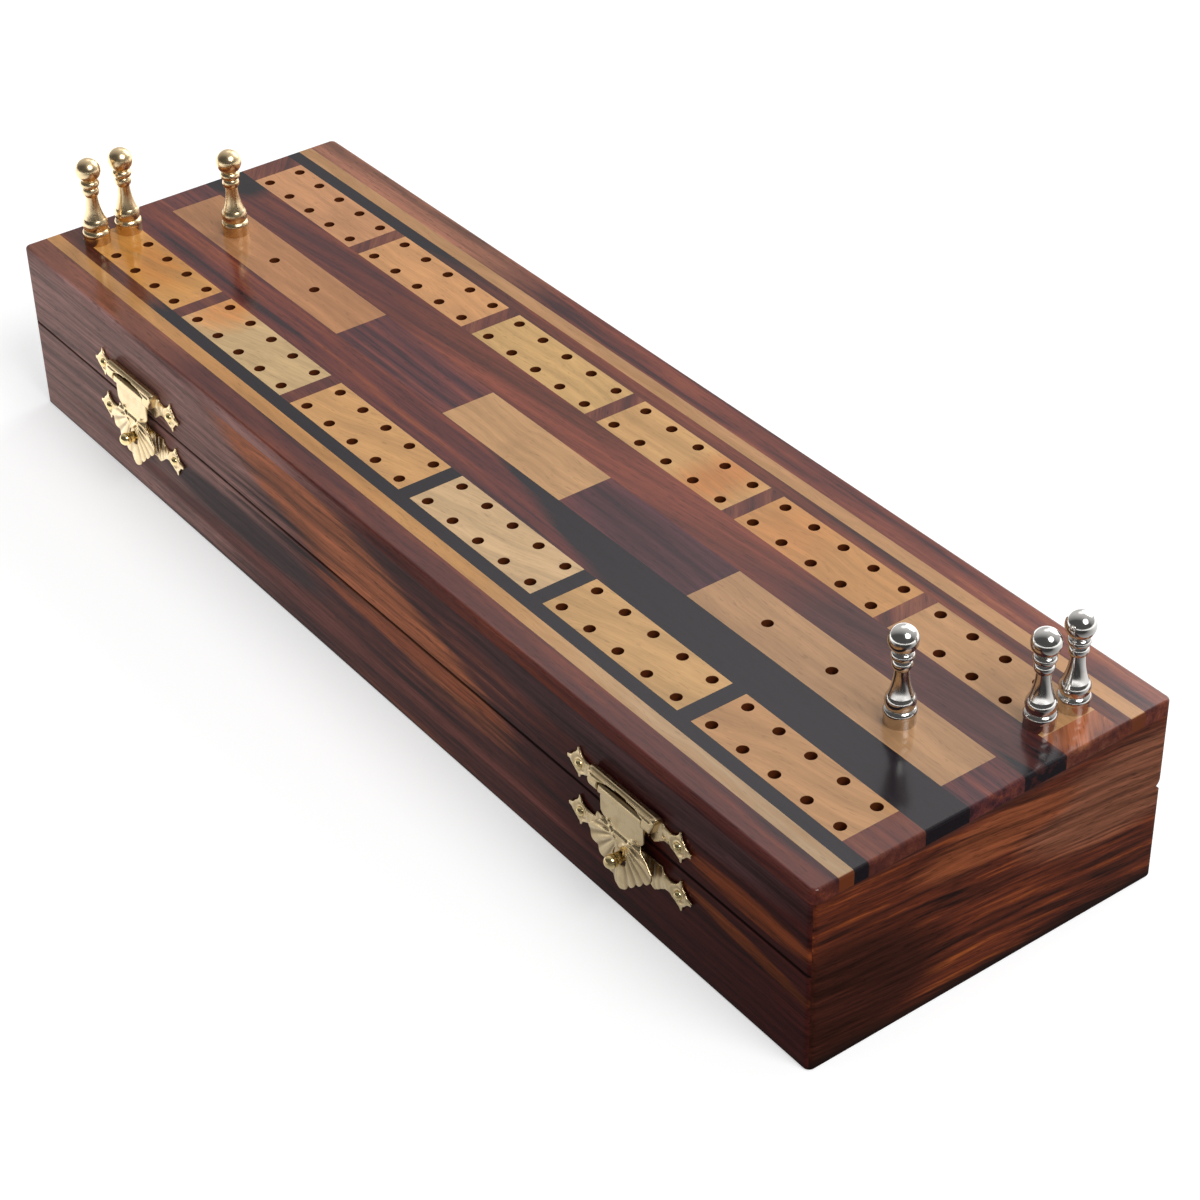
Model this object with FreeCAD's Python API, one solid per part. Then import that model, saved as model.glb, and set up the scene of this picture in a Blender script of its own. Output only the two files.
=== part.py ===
import FreeCAD, Part
import math
import os

# Hinged cribbage box: a long shallow wooden case whose lid is the scoring board.
# Frame: origin at the centre of the underside, +X along the case, +Z up.
# The front, with its two clasps, faces -Y; the hinges are at +Y. All sizes are in millimetres.

# ---- the case ----
length = 254.0              # outside, along X
width = 76.2                # outside, front to back
base_height = 20.3          # from the underside to the seam
lid_height = 17.8           # from the seam to the playing face
wall_thickness = 6.0        # all eight walls, mitred at the corners
bottom_thickness = 3.0      # panel glued in between the base walls, flush underneath
core_thickness = 6.0        # panel inside the lid walls that the peg holes run into
edge_radius = 0.6           # rounding of the edges all round the playing face
foot_radius = 0.5           # rounding of the edges all round the underside
corner_extra_radius = 0.7   # the upright corners are rounder than the edges by this much
front_seam_chamfer = 0.35   # easing of the front rims where lid and base meet
end_seam_chamfer = 0.08     # the same at the two ends, where the seam hardly shows
back_notch = 1.6            # chamfer of both back rims, which lets the lid lean back

# ---- the laminated playing face, 11 strips wide ----
face_thickness = 2.9
back_outer_strip_width = 6.2
front_outer_strip_width = 5.1
string_width = 3.0          # light line
dark_strip_width = 2.9
track_width = 11.6
centre_strip_width = 11.7   # the two inner strips beside it take what is left

# ---- the two scoring tracks ----
blocks_per_track = 6
spacer_length = 3.6
end_caps_length = 11.6      # the dark end pieces of a track, both together
back_cap_length = 5.9       # the one at the left end of the back track
front_cap_length = 5.3      # the same for the front track
holes_per_row = 5
hole_margin = 2.84          # from a block's end to its first holes
row_spacing = 7.5
hole_diameter = 2.2
hole_depth = 8.0

# ---- the centre strip ----
centre_cap_length = 6.7
game_panel_length = 64.5
blank_panel_length = 37.3
game_holes = 3
game_hole_margin = 16.4     # from a panel's outer end to its first hole
left_game_pitch = 15.3
right_game_pitch = 16.7

# ---- pegs: turned, stacked from the foot up ----
peg_stem_length = 7.5
peg_stem_clearance = 0.1    # radial, in the hole
peg_foot_diameter = 5.5
peg_foot_height = 1.7
lower_bead_height = 1.4
lower_bead_diameter = 5.7
lower_groove_diameter = 4.8
belly_height = 2.5
belly_diameter = 5.3
upper_groove_diameter = 4.4
flare_height = 5.0
flare_middle_diameter = 3.0
neck_diameter = 2.5
small_collar_height = 2.0
small_collar_diameter = 3.5
collar_groove_diameter = 2.9
large_collar_height = 1.7
large_collar_diameter = 4.0
ball_neck_diameter = 3.0
ball_diameter = 5.2

# ---- butt hinges, let into the back rims ----
hinge_from_end = 47.0       # from each end of the case to the middle of a hinge
hinge_length = 25.0
hinge_inset = 1.3           # pin axis, in from the back face
leaf_thickness = 0.9
leaf_margin = 0.8           # wood left between a leaf and the inside of the wall
barrel_diameter = 3.0
hinge_pin_diameter = 1.4
hinge_gap = 0.15            # between knuckles, and round a barrel
hinge_nail_spacing = 16.0
hinge_nail_diameter = 0.8
hinge_nail_head_diameter = 1.8
hinge_nail_head_height = 0.5
hinge_nail_length = 5.0

# ---- clasps, on the front ----
clasp_from_end = 45.6       # from each end of the case to the middle of a clasp
sheet_thickness = 0.5
plate_half_body = 8.9       # half the length of a plate between its ears
nail_offset = 13.3          # from a clasp's middle to its nails
upper_plate_height = 25.3   # nail line of the plate on the lid
lower_plate_height = 15.0   # nail line of the plate on the base
hood_top = 3.2              # top of the hood above the upper nail line
hood_fold_radius = 1.15     # half-round fold along the top of the hood
hood_wall = 0.3
ear_neck_half_height = 1.6
ear_horn_offset = 0.2       # the ear's side points, out from the nail
ear_horn_height = 3.2
ear_point_width = 0.4       # half of what is left of each point
ear_notch_offset = 1.6      # between the points
ear_notch_height = 1.5
ear_tip_reach = 3.3         # the ear's end, out from the nail
ear_scoop = 0.28            # hollow of the ear's curved sides
horn_offset = 6.8           # lower corners of a plate's body, from its middle
horn_drop = 3.5             # the same, below its nail line
horn_rise = 0.5             # bottom edge above those corners
lower_plate_rise = 2.9      # straight top edge of the lower plate above its nail line
arch_top = 0.55             # crown of the hood's arch below the top of the hood
arch_rise = 0.8
arch_half_width = 6.0      # to the inner side of each leg
leg_radius = 1.15           # the legs are curled round the pin
leg_foot_half_span = 7.9    # half the distance over the feet of the two legs
clasp_pin_height = 0.8      # pin axis above the upper nail line
clasp_pin_out = 1.5         # pin axis out from the wood
clasp_pin_diameter = 0.9
roll_diameter = 1.9
roll_step = 0.75            # the sheet swells for this much below the pin, and falls back as fast
flap_half_width = 5.85      # at the roll
flap_body_out = 1.95        # front of the flap's body, out from the wood
flap_fan_out = 2.5          # front of the flap's fan, out from the wood
shoulder_height = 6.8       # heights on the flap are above the knob
shoulder_round = 0.35
waist_half_width = 4.5
waist_height = 5.3
fan_half_width = 8.6
fan_height = 1.8            # where the fan is widest
fan_side = 1.5              # height of the fan's blunt sides
fan_side_slant = 0.4
scallops = 3                # on each side of the fan's lower edge
scallop_bulge = 0.5
lobe_half_width = 1.9
lobe_root_drop = 5.0        # below the knob
lobe_drop = 6.7
lobe_round = 0.55
flap_hole_diameter = 3.6
knob_neck_diameter = 2.1
knob_ball_diameter = 2.6
knob_ball_out = 4.2         # ball's centre, out from the wood
knob_collar_diameter = 3.4
knob_collar_height = 0.5
clasp_nail_diameter = 1.0
clasp_nail_head_diameter = 1.9
clasp_nail_head_height = 0.9
clasp_nail_length = 4.5

# ---- clearances ----
fit_gap = 0.02              # radial, round a nail or a fixed pin
running_gap = 0.06          # radial, round a pin that something turns on

# ---- worked out ----
height = base_height + lid_height
half_length = length / 2
half_width = width / 2
corner_radius = max(edge_radius, foot_radius) + corner_extra_radius
core_top = height - face_thickness
side_pattern = string_width + dark_strip_width + track_width
inner_strip_width = (width - back_outer_strip_width - front_outer_strip_width
                     - 2 * side_pattern - centre_strip_width) / 2
block_length = (length - end_caps_length - (blocks_per_track - 1) * spacer_length) / blocks_per_track
hole_pitch = (block_length - 2 * hole_margin) / (holes_per_row - 1)
hole_radius = hole_diameter / 2
hinge_out = half_length - hinge_from_end
clasp_out = half_length - clasp_from_end
front = -half_width
hinge_axis_y = half_width - hinge_inset
clasp_pin_z = upper_plate_height + clasp_pin_height
X, Y, Z = FreeCAD.Vector(1, 0, 0), FreeCAD.Vector(0, 1, 0), FreeCAD.Vector(0, 0, 1)
OUT = FreeCAD.Vector(0, -1, 0)      # away from the front face
SIDES = {"left": -1, "right": 1}


# ---- helpers ----
def box(x0, x1, y0, y1, z0, z1):
    return Part.makeBox(x1 - x0, y1 - y0, z1 - z0, FreeCAD.Vector(x0, y0, z0))


def rod(radius, start, direction, reach):
    return Part.makeCylinder(radius, reach, FreeCAD.Vector(*start), direction)


def edges_at(shape, test):
    """The edges of which every vertex passes the test."""
    return [edge for edge in shape.Edges if all(test(v.Point) for v in edge.Vertexes)]


def upright_edges(shape):
    found = []
    for edge in shape.Edges:
        first, last = edge.Vertexes[0].Point, edge.Vertexes[-1].Point
        if abs(first.x - last.x) < 1e-6 and abs(first.y - last.y) < 1e-6:
            found.append(edge)
    return found


def rounded_block(z0, z1):
    """The case's outline between two heights, with its upright corners rounded."""
    block = box(-half_length, half_length, -half_width, half_width, z0, z1)
    return block.makeFillet(corner_radius, upright_edges(block))


def bow(start, end, rise):
    """An arc from start to end that rises to the left of the straight line between them."""
    along = end - start
    left = FreeCAD.Vector(-along.z, 0, along.x).normalize()
    return start, (start + end) * 0.5 + left * rise, end


def path_to_wire(segments):
    """Segments are (start, end) for a line or (start, middle, end) for an arc."""
    edges = []
    for points in segments:
        if len(points) == 2:
            edges.append(Part.makeLine(*points))
        else:
            edges.append(Part.Arc(*points).toShape())
    return Part.Wire(edges)


def mirrored(segments, mirror):
    """The same path mirrored, in the order that carries on from its end."""
    return [tuple(mirror(p) for p in reversed(points)) for points in reversed(segments)]


# ---- the walls ----
def base_blank():
    blank = rounded_block(0, base_height)
    return blank.makeFillet(foot_radius, edges_at(blank, lambda p: abs(p.z) < 1e-6)).cut(seam_grooves())


def lid_blank():
    return rounded_block(base_height, core_top).cut(seam_grooves())


def seam_grooves():
    """The V-shaped grooves round the seam: distance of the face, depth and turn of each."""
    return [seam_groove(half_width, back_notch, 0), seam_groove(half_width, front_seam_chamfer, 180),
            seam_groove(half_length, end_seam_chamfer, 90), seam_groove(half_length, end_seam_chamfer, -90)]


def seam_groove(reach, depth, turn):
    corners = [FreeCAD.Vector(-length, reach - depth, base_height),
               FreeCAD.Vector(-length, reach + depth, base_height + 2 * depth),
               FreeCAD.Vector(-length, reach + depth, base_height - 2 * depth)]
    groove = Part.Face(Part.makePolygon(corners + corners[:1])).extrude(X * 2 * length)
    groove.rotate(FreeCAD.Vector(), Z, turn)
    return groove


def mitred_wall(blank, side):
    """One wall of a blank: front, back, left or right, cut at 45 degrees at its ends."""
    outer = {"front": [(-1, -1), (1, -1)], "right": [(1, -1), (1, 1)],
             "back": [(1, 1), (-1, 1)], "left": [(-1, 1), (-1, -1)]}[side]
    corners = [FreeCAD.Vector(sx * half_length, sy * half_width, 0) for sx, sy in outer]
    corners += [FreeCAD.Vector(sx * (half_length - wall_thickness), sy * (half_width - wall_thickness), 0)
                for sx, sy in reversed(outer)]
    prism = Part.Face(Part.makePolygon(corners + corners[:1])).extrude(Z * height)
    return blank.common(prism)


def inside_panel(z0, z1):
    """A panel that fills the space between the four walls."""
    inner_x, inner_y = half_length - wall_thickness, half_width - wall_thickness
    return box(-inner_x, inner_x, -inner_y, inner_y, z0, z1)


# ---- the holes ----
def strip_edges():
    """Y of every joint between strips, from the back face to the front face."""
    half_pattern = [string_width, dark_strip_width, track_width, inner_strip_width]
    edges = [half_width]
    for strip in [back_outer_strip_width] + half_pattern + [centre_strip_width] + half_pattern[::-1]:
        edges.append(edges[-1] - strip)
    return edges + [front]


def strip_range(place):
    """Low and high Y of a strip; 0 is the back outer strip and 10 the front one."""
    edges = strip_edges()
    return edges[place + 1], edges[place]


def block_start(cap, block):
    return -half_length + cap + block * (block_length + spacer_length)


def track_hole(place, cap, block, column, row):
    """X, Y of a hole; row -1 is nearer the front and 1 nearer the back."""
    low, high = strip_range(place)
    x = block_start(cap, block) + block_length / 2 + (column - (holes_per_row - 1) / 2) * hole_pitch
    return x, (low + high) / 2 + row * row_spacing / 2


def track_holes(place, cap):
    return [track_hole(place, cap, block, column, row) for block in range(blocks_per_track)
            for column in range(holes_per_row) for row in (-1, 1)]


def game_hole(side, number):
    """X, Y of a hole of a game panel; 0 is the outermost."""
    low, high = strip_range(5)
    pitch = left_game_pitch if side == "left" else right_game_pitch
    out = half_length - centre_cap_length - game_hole_margin - number * pitch
    return SIDES[side] * out, (low + high) / 2


def drill(shape, places):
    bits = [rod(hole_radius, (x, y, height - hole_depth), Z, hole_depth + 1) for x, y in places]
    return shape.cut(Part.makeCompound(bits))


# ---- the playing face ----
def face_blank():
    blank = rounded_block(core_top, height)
    return blank.makeFillet(edge_radius, edges_at(blank, lambda p: abs(p.z - height) < 1e-6))


def face_piece(blank, x0, x1, place):
    low, high = strip_range(place)
    return blank.common(box(x0, x1, low, high, core_top, height))


def full_strip(blank, place):
    return face_piece(blank, -half_length, half_length, place)


def track(blank, place, cap):
    """The pale drilled blocks of a track, and the dark pieces between and outside them."""
    starts = [block_start(cap, block) for block in range(blocks_per_track)]
    blocks = [face_piece(blank, x, x + block_length, place) for x in starts]
    gaps = [-half_length] + [x + block_length for x in starts]
    spacers = [face_piece(blank, x0, x1, place) for x0, x1 in zip(gaps, starts + [half_length])]
    return drill(Part.makeCompound(blocks), track_holes(place, cap)), Part.makeCompound(spacers)


def centre_strip(blank):
    """Two game panels, the blank panel, and the dark pieces between and outside them."""
    panel_end = half_length - centre_cap_length
    panel_start = panel_end - game_panel_length
    half_blank = blank_panel_length / 2
    left = drill(face_piece(blank, -panel_end, -panel_start, 5),
                 [game_hole("left", n) for n in range(game_holes)])
    right = drill(face_piece(blank, panel_start, panel_end, 5),
                  [game_hole("right", n) for n in range(game_holes)])
    middle = face_piece(blank, -half_blank, half_blank, 5)
    dark = [(-half_length, -panel_end), (-panel_start, -half_blank),
            (half_blank, panel_start), (panel_end, half_length)]
    return left, right, middle, Part.makeCompound([face_piece(blank, a, b, 5) for a, b in dark])


def core_panel():
    holes = track_holes(3, back_cap_length) + track_holes(7, front_cap_length)
    holes += [game_hole(side, n) for side in SIDES for n in range(game_holes)]
    return drill(inside_panel(core_top - core_thickness, core_top), holes)


# ---- pegs ----
def peg_profile():
    """Half the outline of a peg in the XZ plane, standing on the playing face at Z 0."""
    stem = hole_radius - peg_stem_clearance
    foot = peg_foot_diameter / 2
    ball = ball_diameter / 2
    ball_neck = ball_neck_diameter / 2
    turned = [(lower_bead_height, lower_bead_diameter, lower_groove_diameter),
              (belly_height, belly_diameter, upper_groove_diameter),
              (flare_height, flare_middle_diameter, neck_diameter),
              (small_collar_height, small_collar_diameter, collar_groove_diameter),
              (large_collar_height, large_collar_diameter, ball_neck_diameter)]
    at = FreeCAD.Vector
    corners = [at(0, 0, -peg_stem_length), at(stem, 0, -peg_stem_length), at(stem, 0, 0),
               at(foot, 0, 0), at(foot, 0, peg_foot_height)]
    path = list(zip(corners, corners[1:]))
    here = corners[-1]
    for rise, middle_diameter, top_diameter in turned:
        top = at(top_diameter / 2, 0, here.z + rise)
        path.append((here, at(middle_diameter / 2, 0, here.z + rise / 2), top))
        here = top
    centre = here.z + math.sqrt(ball ** 2 - ball_neck ** 2)
    crown = at(0, 0, centre + ball)
    path.append((here, at(ball, 0, centre), crown))
    path.append((crown, corners[0]))
    return Part.Face(path_to_wire(path))


def peg(place):
    turned = peg_profile().revolve(FreeCAD.Vector(), Z, 360)
    turned.translate(FreeCAD.Vector(place[0], place[1], height))
    return turned


# ---- butt hinges ----
def knuckle_spans(hinge_x):
    """X range of the three knuckles."""
    third = hinge_length / 3
    start = hinge_x - hinge_length / 2
    return [(start + n * third, start + (n + 1) * third) for n in range(3)]


def leaf_inner_y():
    return half_width - wall_thickness + leaf_margin


def nail_line_y():
    """Middle of the flat part of a leaf."""
    return (leaf_inner_y() + hinge_axis_y - barrel_diameter / 2) / 2


def barrel(span, radius, gap=0.0):
    x0, x1 = span[0] + gap, span[1] - gap
    return rod(radius, (x0, hinge_axis_y, base_height), X, x1 - x0)


def leaf(hinge_x, half):
    """Half is -1 for the leaf in the base, which has two knuckles, and 1 for the lid's."""
    spans = knuckle_spans(hinge_x)
    own = [spans[0], spans[2]] if half < 0 else [spans[1]]
    other = [spans[1]] if half < 0 else [spans[0], spans[2]]
    low, high = sorted((base_height, base_height + half * leaf_thickness))
    body = box(spans[0][0], spans[2][1], leaf_inner_y(), hinge_axis_y, low, high)
    for span in other:
        body = body.cut(barrel(span, barrel_diameter / 2 + hinge_gap, -hinge_gap))
    side = {-1: 0.0, 1: hinge_gap}[half]
    body = body.fuse([barrel(span, barrel_diameter / 2, side) for span in own]).removeSplitter()
    play = fit_gap if half < 0 else running_gap
    body = body.cut(barrel((spans[0][0], spans[2][1]), hinge_pin_diameter / 2 + play, -1))
    return body.cut([hinge_nail(x, half, fit_gap) for x in hinge_nail_places(hinge_x)])


def hinge_nail_places(hinge_x):
    return [hinge_x - hinge_nail_spacing / 2, hinge_x + hinge_nail_spacing / 2]


def hinge_nail(x, half, gap=0.0):
    """Countersunk nail, flush with the rim; a gap makes it the hole that the nail sits in."""
    way = Z * half
    head = hinge_nail_head_diameter / 2 + gap
    shank = hinge_nail_diameter / 2 + gap
    start = FreeCAD.Vector(x, nail_line_y(), base_height)
    cone = Part.makeCone(head, shank, hinge_nail_head_height, start, way)
    return cone.fuse(Part.makeCylinder(shank, hinge_nail_length + gap, start, way)).removeSplitter()


def hinge_pocket(hinge_x, half):
    """What is cut from a back wall for one hinge."""
    spans = knuckle_spans(hinge_x)
    low, high = sorted((base_height, base_height + half * leaf_thickness))
    seat = box(spans[0][0], spans[2][1], leaf_inner_y(), hinge_axis_y, low, high)
    round_barrel = barrel((spans[0][0], spans[2][1]), barrel_diameter / 2 + hinge_gap, -hinge_gap)
    return [seat, round_barrel] + [hinge_nail(x, half, fit_gap) for x in hinge_nail_places(hinge_x)]


def hinge_pin(hinge_x):
    spans = knuckle_spans(hinge_x)
    return barrel((spans[0][0], spans[2][1]), hinge_pin_diameter / 2)


# ---- clasps, their outlines drawn in the XZ plane and moved to the front ----
def on_front(clasp_x, z):
    return FreeCAD.Vector(clasp_x, front, z)


def ear_path():
    """Upper half of a three-pointed ear, from the plate's body out to its tip."""
    at = FreeCAD.Vector
    corner = at(plate_half_body + ear_point_width, 0, ear_neck_half_height)
    neck_end = at(nail_offset - ear_horn_height / 2 + ear_horn_offset, 0, ear_neck_half_height)
    horn = at(nail_offset + ear_horn_offset, 0, ear_horn_height)
    horn_end = at(horn.x + ear_point_width, 0, ear_horn_height)
    notch = at(nail_offset + ear_notch_offset, 0, ear_notch_height)
    tip = at(nail_offset + ear_tip_reach, 0, ear_point_width)
    return [bow(corner, neck_end, -ear_scoop), bow(neck_end, horn, -ear_scoop), (horn, horn_end),
            bow(horn_end, notch, -ear_scoop), bow(notch, tip, -ear_scoop)]


def plate_face(clasp_x, nail_line, top):
    """Outline of a plate: straight along the top out to top, its corner, then ear and foot."""
    at = FreeCAD.Vector
    upper_ear = ear_path()
    lower_ear = mirrored(upper_ear, lambda p: at(p.x, 0, -p.z))
    tip = (upper_ear[-1][-1], lower_ear[0][0])
    horn = at(horn_offset, 0, -horn_drop)
    horn_root = at(horn_offset - 2 * horn_rise, 0, horn_rise - horn_drop)
    right = [(at(0, 0, top.z), top), (top, upper_ear[0][0])] + upper_ear + [tip] + lower_ear
    right += [(lower_ear[-1][-1], horn), (horn, horn_root), (horn_root, at(0, 0, horn_root.z))]
    outline = right + mirrored(right, lambda p: at(-p.x, 0, p.z))
    face = Part.Face(path_to_wire(outline))
    face.translate(on_front(clasp_x, nail_line))
    return face


def nail_xs(clasp_x):
    return [clasp_x - nail_offset, clasp_x + nail_offset]


def nail_holes(clasp_x, nail_line):
    radius = clasp_nail_diameter / 2 + fit_gap
    return [rod(radius, (x, front + 1, nail_line), OUT, 1 + 2 * sheet_thickness) for x in nail_xs(clasp_x)]


def clasp_nail(x, nail_line):
    """Round-headed nail through a plate into the wall."""
    head_radius = clasp_nail_head_diameter / 2
    under_head = front - sheet_thickness
    ball_radius = (head_radius ** 2 + clasp_nail_head_height ** 2) / (2 * clasp_nail_head_height)
    centre = under_head - clasp_nail_head_height + ball_radius
    head = Part.makeSphere(ball_radius, FreeCAD.Vector(x, centre, nail_line))
    head = head.common(box(x - head_radius, x + head_radius, under_head - clasp_nail_head_height, under_head,
                           nail_line - head_radius, nail_line + head_radius))
    shank = rod(clasp_nail_diameter / 2, (x, front + clasp_nail_length, nail_line), OUT,
                clasp_nail_length + sheet_thickness)
    return head.fuse(shank).removeSplitter()


def nail_pilots(nail_line):
    radius = clasp_nail_diameter / 2 + fit_gap
    return [rod(radius, (x, front + clasp_nail_length + fit_gap, nail_line), OUT, clasp_nail_length + 1)
            for side in SIDES.values() for x in nail_xs(side * clasp_out)]


def side_prism(clasp_x, half, path):
    """Prism along X, 2 x half long, of a path of (out from the wood, height) points."""
    segments = [[FreeCAD.Vector(clasp_x - half, front - out, z) for out, z in points] for points in path]
    return Part.Face(path_to_wire(segments)).extrude(X * 2 * half)


def hood(clasp_x):
    """The raised part of the upper plate: folded over along the top, with two legs round the pin."""
    fold, fold_z = hood_fold_radius, upper_plate_height + hood_top - hood_fold_radius
    leg_front = clasp_pin_out + leg_radius
    bottom = clasp_pin_z - leg_radius
    slant = leg_radius * math.sqrt(0.5)
    path = [((0, fold_z), (fold, fold_z + fold), (2 * fold, fold_z)),
            ((2 * fold, fold_z), (leg_front, clasp_pin_z)),
            ((leg_front, clasp_pin_z), (clasp_pin_out + slant, clasp_pin_z - slant), (clasp_pin_out, bottom)),
            ((clasp_pin_out, bottom), (0, bottom)),
            ((0, bottom), (0, fold_z))]
    taper = [(plate_half_body, fold_z + fold), (plate_half_body, fold_z), (leg_foot_half_span, bottom)]
    taper += [(-u, z) for u, z in reversed(taper)]
    corners = [FreeCAD.Vector(clasp_x + u, front, z) for u, z in taper]
    outline = Part.Face(Part.makePolygon(corners + corners[:1])).extrude(OUT * 2 * leg_front)
    whole = side_prism(clasp_x, plate_half_body, path).common(outline)
    return whole.cut(hood_hollow(clasp_x, fold_z))


def hood_hollow(clasp_x, fold_z):
    """The space between the legs, open at the front up to the arch."""
    inner = hood_fold_radius - hood_wall
    back, fore = sheet_thickness, hood_fold_radius + inner
    back_z = fold_z + math.sqrt(inner ** 2 - (hood_fold_radius - back) ** 2)
    crown = upper_plate_height + hood_top - arch_top
    radius = (arch_half_width ** 2 + arch_rise ** 2) / (2 * arch_rise)
    reach = 2 * (clasp_pin_out + leg_radius)
    room = side_prism(clasp_x, arch_half_width,
                      [((back, 0), (back, back_z)),
                       ((back, back_z), (hood_fold_radius, fold_z + inner), (fore, fold_z)),
                       ((fore, fold_z), (fore, 0)), ((fore, 0), (back, 0))])
    window = box(clasp_x - arch_half_width, clasp_x + arch_half_width, front - reach, front - back, 0, crown)
    return room.fuse(window.common(rod(radius, (clasp_x, front, crown - radius), OUT, reach)))


def upper_plate(clasp_x):
    top = FreeCAD.Vector(plate_half_body, 0, hood_top - hood_fold_radius)
    sheet = plate_face(clasp_x, upper_plate_height, top).extrude(OUT * sheet_thickness)
    whole = sheet.fuse(hood(clasp_x)).removeSplitter()
    return whole.cut(nail_holes(clasp_x, upper_plate_height) + [pin_rod(clasp_x, fit_gap)])


def lower_plate(clasp_x):
    top = FreeCAD.Vector(plate_half_body, 0, lower_plate_rise)
    sheet = plate_face(clasp_x, lower_plate_height, top).extrude(OUT * sheet_thickness)
    knob_hole = rod(knob_neck_diameter / 2 + fit_gap, (clasp_x, front + 1, lower_plate_height), OUT,
                    1 + 2 * sheet_thickness)
    return sheet.cut(nail_holes(clasp_x, lower_plate_height) + [knob_hole])


def pin_rod(clasp_x, gap=0.0):
    """The clasp's pin; a gap makes it the hole that the pin goes through."""
    reach = leg_foot_half_span + 2 * gap
    start = (clasp_x - reach, front - clasp_pin_out, clasp_pin_z)
    return rod(clasp_pin_diameter / 2 + gap, start, X, 2 * reach)


def knob(clasp_x):
    neck = rod(knob_neck_diameter / 2, (clasp_x, front, lower_plate_height), OUT, knob_ball_out)
    collar = rod(knob_collar_diameter / 2, (clasp_x, front - sheet_thickness, lower_plate_height), OUT,
                 knob_collar_height)
    ball = Part.makeSphere(knob_ball_diameter / 2, FreeCAD.Vector(clasp_x, front - knob_ball_out,
                                                                  lower_plate_height))
    return neck.fuse([collar, ball]).removeSplitter()


def flap_outline():
    """Right half of the flap, from its top edge to the tip of the lobe; heights are from the knob."""
    at = FreeCAD.Vector
    roll = clasp_pin_z - lower_plate_height
    shoulder = at(flap_half_width, 0, shoulder_height)
    waist = at(waist_half_width, 0, waist_height)
    fan_top = at(fan_half_width, 0, fan_height)
    fan_low = at(fan_half_width - fan_side_slant, 0, fan_height - fan_side)
    lobe_root = at(lobe_half_width, 0, -lobe_root_drop)
    path = [(at(0, 0, roll), at(flap_half_width, 0, roll)), (at(flap_half_width, 0, roll), shoulder),
            bow(shoulder, waist, shoulder_round), (waist, fan_top), (fan_top, fan_low)]
    step = (lobe_root - fan_low) * (1 / scallops)
    for number in range(scallops):
        start = fan_low + step * number
        path.append(bow(start, start + step, scallop_bulge))
    return path + [bow(lobe_root, at(0, 0, -lobe_drop), lobe_round)]


def flap(clasp_x):
    """Sheet hung from a rolled edge, narrow at the seam and fanned out over the knob."""
    half = flap_outline()
    outline = half + mirrored(half, lambda p: FreeCAD.Vector(-p.x, 0, p.z))
    face = Part.Face(path_to_wire(outline))
    face.translate(on_front(clasp_x, lower_plate_height))
    roll_out = clasp_pin_out + roll_diameter / 2
    fan_z = lower_plate_height + (fan_height + waist_height) / 2
    waist_z = lower_plate_height + waist_height
    outside = [(roll_out, clasp_pin_z), (flap_fan_out, clasp_pin_z - roll_step),
               (flap_body_out, clasp_pin_z - 2 * roll_step), (flap_body_out, waist_z),
               (flap_fan_out, fan_z), (flap_fan_out, 0)]
    inside = [(out - sheet_thickness, z) for out, z in reversed(outside)]
    around = outside + inside
    path = list(zip(around, around[1:] + around[:1]))
    sheet = face.extrude(OUT * 2 * flap_fan_out).common(side_prism(clasp_x, 2 * fan_half_width, path))
    roll = rod(roll_diameter / 2, (clasp_x - flap_half_width, front - clasp_pin_out, clasp_pin_z), X,
               2 * flap_half_width)
    knob_hole = rod(flap_hole_diameter / 2, (clasp_x, front, lower_plate_height), OUT, 2 * flap_fan_out)
    return sheet.fuse(roll).removeSplitter().cut([pin_rod(clasp_x, running_gap), knob_hole])


# ---- the whole box ----
def wall_nodes():
    nodes = {}
    for part, blank in (("base", base_blank()), ("lid", lid_blank())):
        for side in ("front", "back", "left", "right"):
            kind = "wall" if side in ("front", "back") else "end"
            nodes["%s_%s_%s" % (part, side, kind)] = mitred_wall(blank, side)
    for part, half in (("base", -1), ("lid", 1)):
        pockets = [cut for side in SIDES.values() for cut in hinge_pocket(side * hinge_out, half)]
        nodes[part + "_back_wall"] = nodes[part + "_back_wall"].cut(pockets)
    nodes["base_front_wall"] = nodes["base_front_wall"].cut(nail_pilots(lower_plate_height))
    nodes["lid_front_wall"] = nodes["lid_front_wall"].cut(nail_pilots(upper_plate_height))
    nodes["base_bottom_panel"] = inside_panel(0, bottom_thickness)
    nodes["lid_core_panel"] = core_panel()
    return nodes


def face_nodes():
    blank = face_blank()
    names = {0: "outer_strip_back", 1: "light_string_back", 2: "dark_strip_back", 4: "inner_strip_back",
             6: "inner_strip_front", 8: "dark_strip_front", 9: "light_string_front", 10: "outer_strip_front"}
    nodes = {name: full_strip(blank, place) for place, name in names.items()}
    nodes["track_blocks_back"], nodes["track_spacers_back"] = track(blank, 3, back_cap_length)
    nodes["track_blocks_front"], nodes["track_spacers_front"] = track(blank, 7, front_cap_length)
    left, right, middle, dark = centre_strip(blank)
    nodes["game_panel_left"], nodes["game_panel_right"] = left, right
    nodes["blank_panel"], nodes["centre_fillers"] = middle, dark
    return nodes


def hinge_nodes():
    nodes = {}
    for name, side in SIDES.items():
        hinge_x = side * hinge_out
        nodes["hinge_base_leaf_" + name] = leaf(hinge_x, -1)
        nodes["hinge_lid_leaf_" + name] = leaf(hinge_x, 1)
        nodes["hinge_pin_" + name] = hinge_pin(hinge_x)
    for part, half in (("base", -1), ("lid", 1)):
        nails = [hinge_nail(x, half) for side in SIDES.values()
                 for x in hinge_nail_places(side * hinge_out)]
        nodes["hinge_nails_" + part] = Part.makeCompound(nails)
    return nodes


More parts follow.
